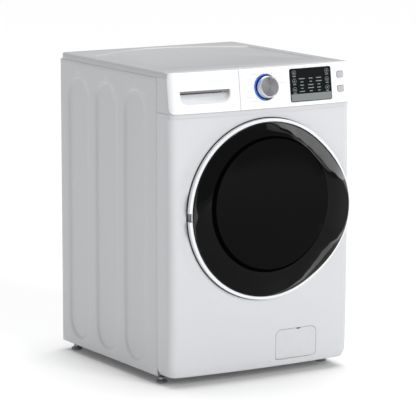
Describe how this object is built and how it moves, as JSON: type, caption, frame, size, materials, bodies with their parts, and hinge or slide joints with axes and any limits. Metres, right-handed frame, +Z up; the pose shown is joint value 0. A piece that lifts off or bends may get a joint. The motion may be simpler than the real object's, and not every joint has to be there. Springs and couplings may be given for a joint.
{
  "type": "front load washing machine",
  "caption": "Free-standing front load washing machine with a round black glass-look door, slide-out detergent drawer, dial and display, belt-driven drum in a sprung tub.",
  "frame": {"origin": "on the floor under the centre of the machine's bounding box", "axes": "+Z up, the door faces -Y, +X to the right seen from the front"},
  "size_m": [0.686, 0.802, 1.024],
  "materials": {
    "cabinet_paint": "satin white enamel",
    "front_paint": "smooth white enamel",
    "fascia_gloss": "glossy white plastic",
    "door_black": "deep black gloss",
    "display_black": "black gloss panel with printed marks",
    "knob_steel": "turned face, radial sheen",
    "light_ring": "lit blue arc on dark ring",
    "button_grey": "matte grey",
    "bowl_glass": "clear pressed glass",
    "frame_grey": "fine texture",
    "hinge_steel": "zinc plated",
    "seal_rubber": "moulded grey rubber",
    "drum_steel": "stainless, perforated",
    "lifter_plastic": "satin",
    "alloy": "as cast",
    "tub_plastic": "moulded",
    "weight_iron": "rough cast",
    "bearing_steel": "ground",
    "motor_black": "die-cast housing, black enamel",
    "belt_rubber": "ribbed",
    "steel_grey": "zinc plated",
    "damper_plastic": "moulded",
    "tray_plastic": "satin",
    "housing_plastic": "moulded",
    "valve_nylon": "moulded",
    "board_green": "circuit board",
    "lock_black": "moulded",
    "pump_grey": "moulded",
    "foot_rubber": "moulded"
  },
  "bodies": {
    "cabinet": {"base_frame": "steel_grey", "left_side_panel": "cabinet_paint", "right_side_panel": "cabinet_paint", "rear_panel": "cabinet_paint", "rear_access_cover": "cabinet_paint", "top_cover": "cabinet_paint", "front_panel": "front_paint", "control_fascia": "fascia_gloss", "display_window": "display_black", "control_board": "board_green", "knob_light_ring": "light_ring", "dispenser_housing": "housing_plastic", "inlet_valve": "valve_nylon", "drain_outlet": "valve_nylon", "cord_gland": "belt_rubber", "drain_pump": "pump_grey", "top_brace": "steel_grey", "left_damper_tube": "damper_plastic", "right_damper_tube": "damper_plastic", "left_spring": "steel_grey", "right_spring": "steel_grey", "fill_hose": "seal_rubber", "sump_hose": "seal_rubber", "door_seal": "seal_rubber", "hinge_bracket": "hinge_steel", "door_lock": "lock_black"},
    "tub": {"tub_front": "tub_plastic", "tub_rear": "tub_plastic", "front_counterweight": "weight_iron", "top_counterweight": "weight_iron", "drum_bearing": "bearing_steel", "motor": "motor_black", "drive_belt": "belt_rubber", "left_damper_rod": "steel_grey", "right_damper_rod": "steel_grey"},
    "drum": {"drum_shell": "drum_steel", "lifter_top": "lifter_plastic", "lifter_left": "lifter_plastic", "lifter_right": "lifter_plastic", "spider_shaft": "alloy", "drum_pulley": "alloy"},
    "motor_rotor": {"motor_pulley": "bearing_steel"},
    "door": {"door_ring": "fascia_gloss", "door_cover": "door_black", "door_bowl": "bowl_glass", "door_inner_frame": "frame_grey", "hinge_arm": "hinge_steel"},
    "latch": {"door_hook": "hinge_steel"},
    "drawer": {"drawer_front": "fascia_gloss", "drawer_tray": "tray_plastic"},
    "knob": {"program_knob": "knob_steel"},
    "power_key": {"power_button": "button_grey"},
    "start_key": {"start_button": "button_grey"},
    "flap": {"filter_flap": "front_paint"},
    "filter": {"filter_cap": "pump_grey"},
    "impeller": {"pump_impeller": "valve_nylon"},
    "front_left_foot": {"front_left_foot": "foot_rubber"},
    "front_right_foot": {"front_right_foot": "foot_rubber"},
    "rear_left_foot": {"rear_left_foot": "foot_rubber"},
    "rear_right_foot": {"rear_right_foot": "foot_rubber"}
  },
  "joints": [
    {"name": "tub_bounce", "type": "slide", "parent": "cabinet", "child": "tub", "axis": [0, 0, 1], "range_m": [-0.01, 0.01], "stiffness_N_per_m": 15000, "springref_m": 0.03443, "deforming": ["left_spring", "right_spring", "fill_hose", "sump_hose", "door_seal"]},
    {"name": "drum_spin", "type": "hinge", "parent": "tub", "child": "drum", "pos_m": [-0.003, 0.06, 0.561], "axis": [0, 1, 0], "continuous": true},
    {"name": "motor_spin", "type": "hinge", "parent": "tub", "child": "motor_rotor", "pos_m": [0.1, 0.28, 0.17], "axis": [0, 1, 0], "continuous": true},
    {"name": "door_swing", "type": "hinge", "parent": "cabinet", "child": "door", "pos_m": [-0.2755, -0.357, 0.561], "axis": [0, 0, -1], "range_deg": [0, 150]},
    {"name": "latch_pivot", "type": "hinge", "parent": "door", "child": "latch", "pos_m": [0.262, -0.36, 0.561], "axis": [0, 0, 1], "range_deg": [0, 6], "stiffness_Nm_per_rad": 0.6},
    {"name": "drawer_slide", "type": "slide", "parent": "cabinet", "child": "drawer", "axis": [0, -1, 0], "range_m": [0, 0.2]},
    {"name": "knob_turn", "type": "hinge", "parent": "cabinet", "child": "knob", "pos_m": [0.003, -0.35007, 0.961], "axis": [0, -0.9917, 0.1289], "continuous": true},
    {"name": "power_press", "type": "slide", "parent": "cabinet", "child": "power_key", "axis": [0, 0.9917, -0.1289], "range_m": [0, 0.0015], "stiffness_N_per_m": 600},
    {"name": "start_press", "type": "slide", "parent": "cabinet", "child": "start_key", "axis": [0, 0.9917, -0.1289], "range_m": [0, 0.0015], "stiffness_N_per_m": 600},
    {"name": "flap_swing", "type": "hinge", "parent": "cabinet", "child": "flap", "pos_m": [0.129, -0.3407, 0.058], "axis": [1, 0, 0], "range_deg": [0, 85]},
    {"name": "filter_turn", "type": "hinge", "parent": "cabinet", "child": "filter", "pos_m": [0.129, -0.3, 0.108], "axis": [0, -1, 0], "range_deg": [0, 90]},
    {"name": "impeller_spin", "type": "hinge", "parent": "cabinet", "child": "impeller", "pos_m": [0.129, -0.205, 0.108], "axis": [0, 1, 0], "continuous": true},
    {"name": "front_left_foot_screw", "type": "hinge", "parent": "cabinet", "child": "front_left_foot", "pos_m": [-0.31, -0.218, 0.02], "axis": [0, 0, 1], "range_deg": [-180, 180]},
    {"name": "front_right_foot_screw", "type": "hinge", "parent": "cabinet", "child": "front_right_foot", "pos_m": [0.31, -0.218, 0.02], "axis": [0, 0, 1], "range_deg": [-180, 180]},
    {"name": "rear_left_foot_screw", "type": "hinge", "parent": "cabinet", "child": "rear_left_foot", "pos_m": [-0.31, 0.362, 0.02], "axis": [0, 0, 1], "range_deg": [-180, 180]},
    {"name": "rear_right_foot_screw", "type": "hinge", "parent": "cabinet", "child": "rear_right_foot", "pos_m": [0.31, 0.362, 0.02], "axis": [0, 0, 1], "range_deg": [-180, 180]}
  ],
  "couplings": [
    {"joint": "motor_spin", "follows": "drum_spin", "ratio": 10.357}
  ]
}
